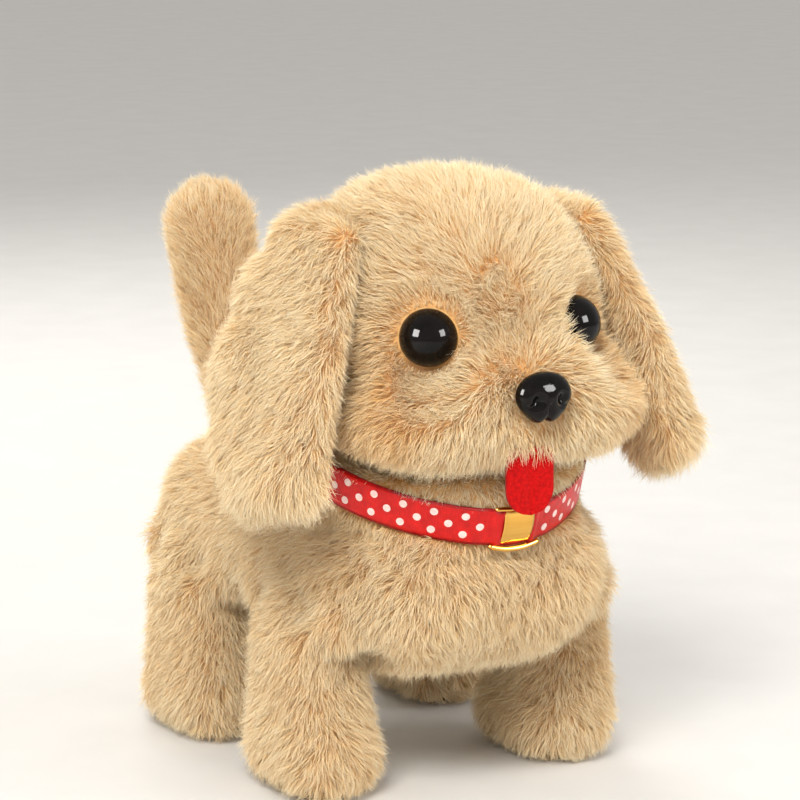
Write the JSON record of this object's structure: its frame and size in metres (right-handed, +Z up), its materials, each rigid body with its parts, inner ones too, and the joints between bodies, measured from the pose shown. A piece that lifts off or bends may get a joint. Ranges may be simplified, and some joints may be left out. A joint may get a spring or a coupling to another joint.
{
  "type": "interactive plush pet",
  "caption": "Walking plush puppy with flop ears, a dotted collar and buckle, geared swinging legs, a nodding head and a wagging tail.",
  "frame": {"origin": "on the floor, under the middle of the pet's overall box", "axes": "the pet faces -Y, +X is its left side, +Z is up"},
  "size_m": [0.125, 0.1969, 0.159],
  "materials": {
    "plush": "short dense pile, golden cream",
    "case_plastic": "moulded, off-white",
    "gear_plastic": "natural acetal",
    "dark_plastic": "moulded, black",
    "steel": "bright zinc",
    "brass": "machined",
    "spring_steel": "nickel plated",
    "board": "solder mask",
    "speaker_black": "satin",
    "cell_jacket": "plain printed jacket",
    "ribbon_red": "satin ribbon with pale dots",
    "buckle_gold": "polished gold plate",
    "sole_rubber": "matt",
    "eye_black": "high gloss",
    "nose_black": "high gloss",
    "felt_red": "felt"
  },
  "bodies": {
    "trunk": {"trunk_plush": "plush", "chassis_left": "case_plastic", "chassis_right": "case_plastic", "chassis_screws": "steel", "gear_plate": "case_plastic", "gear_pins": "steel", "hip_clips": "steel", "neck_bracket": "case_plastic", "neck_pin": "steel", "motor_can": "steel", "circuit_board": "board", "voice_chip": "dark_plastic", "speaker": "speaker_black", "batteries": "cell_jacket", "spring_contacts": "spring_steel", "plate_contacts": "spring_steel", "switch_body": "dark_plastic", "collar_ribbon": "ribbon_red", "collar_buckle": "buckle_gold"},
    "door": {"battery_door": "case_plastic", "door_screw": "steel"},
    "switch": {"switch_knob": "dark_plastic"},
    "motor_rotor": {"motor_shaft": "steel", "motor_pinion": "brass"},
    "first_stage": {"first_gear": "gear_plastic"},
    "second_stage": {"second_gear": "gear_plastic"},
    "centre_wheel": {"centre_gear": "gear_plastic"},
    "idler_front": {"idler_gear_front": "gear_plastic"},
    "idler_rear": {"idler_gear_rear": "gear_plastic"},
    "front_crank": {"front_shaft": "steel", "front_crank_gear": "gear_plastic", "front_cranks": "dark_plastic", "nod_cam": "dark_plastic"},
    "rear_crank": {"rear_shaft": "steel", "rear_crank_gear": "gear_plastic", "rear_cranks": "dark_plastic", "wag_cam": "dark_plastic"},
    "head": {"head_plush": "plush", "ear_left": "plush", "ear_right": "plush", "eyes": "eye_black", "nose": "nose_black", "tongue": "felt_red", "washers": "gear_plastic", "head_shell": "case_plastic", "nod_lever": "case_plastic"},
    "tail": {"tail_assembly_core": "case_plastic", "tail_plush": "plush"},
    "leg_fl": {"leg_frame_fl": "case_plastic", "leg_plush_fl": "plush", "sole_fl": "sole_rubber"},
    "leg_fr": {"leg_frame_fr": "case_plastic", "leg_plush_fr": "plush", "sole_fr": "sole_rubber"},
    "leg_rl": {"leg_frame_rl": "case_plastic", "leg_plush_rl": "plush", "sole_rl": "sole_rubber"},
    "leg_rr": {"leg_frame_rr": "case_plastic", "leg_plush_rr": "plush", "sole_rr": "sole_rubber"}
  },
  "joints": [
    {"name": "front_crank_spin", "type": "hinge", "parent": "trunk", "child": "front_crank", "pos_m": [0, -0.041, 0.048], "axis": [1, 0, 0], "continuous": true},
    {"name": "rear_crank_spin", "type": "hinge", "parent": "trunk", "child": "rear_crank", "pos_m": [0, 0.02, 0.048], "axis": [1, 0, 0], "continuous": true},
    {"name": "centre_gear_spin", "type": "hinge", "parent": "trunk", "child": "centre_wheel", "pos_m": [0.018, -0.0105, 0.053], "axis": [1, 0, 0], "continuous": true},
    {"name": "idler_front_spin", "type": "hinge", "parent": "trunk", "child": "idler_front", "pos_m": [0.018, -0.0261, 0.0526], "axis": [1, 0, 0], "continuous": true},
    {"name": "idler_rear_spin", "type": "hinge", "parent": "trunk", "child": "idler_rear", "pos_m": [0.018, 0.00509, 0.0526], "axis": [1, 0, 0], "continuous": true},
    {"name": "second_gear_spin", "type": "hinge", "parent": "trunk", "child": "second_stage", "pos_m": [0.017, -0.0168, 0.06391], "axis": [1, 0, 0], "continuous": true},
    {"name": "first_gear_spin", "type": "hinge", "parent": "trunk", "child": "first_stage", "pos_m": [0.015, -0.00681, 0.06444], "axis": [1, 0, 0], "continuous": true},
    {"name": "motor_spin", "type": "hinge", "parent": "trunk", "child": "motor_rotor", "pos_m": [0, 0.00457, 0.06283], "axis": [1, 0, 0], "continuous": true},
    {"name": "leg_fl_swing", "type": "hinge", "parent": "trunk", "child": "leg_fl", "pos_m": [0.028, -0.041, 0.063], "axis": [1, 0, 0], "range_deg": [-10, 10]},
    {"name": "leg_fr_swing", "type": "hinge", "parent": "trunk", "child": "leg_fr", "pos_m": [-0.028, -0.041, 0.063], "axis": [1, 0, 0], "range_deg": [-10, 10]},
    {"name": "leg_rl_swing", "type": "hinge", "parent": "trunk", "child": "leg_rl", "pos_m": [0.028, 0.02, 0.063], "axis": [1, 0, 0], "range_deg": [-10, 10]},
    {"name": "leg_rr_swing", "type": "hinge", "parent": "trunk", "child": "leg_rr", "pos_m": [-0.028, 0.02, 0.063], "axis": [1, 0, 0], "range_deg": [-10, 10]},
    {"name": "head_nod", "type": "hinge", "parent": "trunk", "child": "head", "pos_m": [0, -0.029, 0.083], "axis": [1, 0, 0], "range_deg": [-4, 4]},
    {"name": "tail_wag", "type": "hinge", "parent": "trunk", "child": "tail", "pos_m": [0, 0.06, 0.061], "axis": [0, 1, 0], "range_deg": [-12, 12]},
    {"name": "switch_slide", "type": "slide", "parent": "trunk", "child": "switch", "axis": [1, 0, 0], "range_m": [0, 0.003]},
    {"name": "battery_door_lift", "type": "slide", "parent": "trunk", "child": "door", "axis": [0, 0, -1], "range_m": [0, 0.012]}
  ],
  "couplings": [
    {"joint": "rear_crank_spin", "follows": "front_crank_spin", "ratio": 1},
    {"joint": "centre_gear_spin", "follows": "front_crank_spin", "ratio": 1},
    {"joint": "idler_front_spin", "follows": "front_crank_spin", "ratio": -1.6},
    {"joint": "idler_rear_spin", "follows": "front_crank_spin", "ratio": -1.6},
    {"joint": "second_gear_spin", "follows": "front_crank_spin", "ratio": -3.2},
    {"joint": "first_gear_spin", "follows": "front_crank_spin", "ratio": 9.6},
    {"joint": "motor_spin", "follows": "front_crank_spin", "ratio": -34.56},
    {"joint": "leg_rr_swing", "follows": "leg_fl_swing", "ratio": 1},
    {"joint": "leg_fr_swing", "follows": "leg_fl_swing", "ratio": -1},
    {"joint": "leg_rl_swing", "follows": "leg_fl_swing", "ratio": -1}
  ]
}
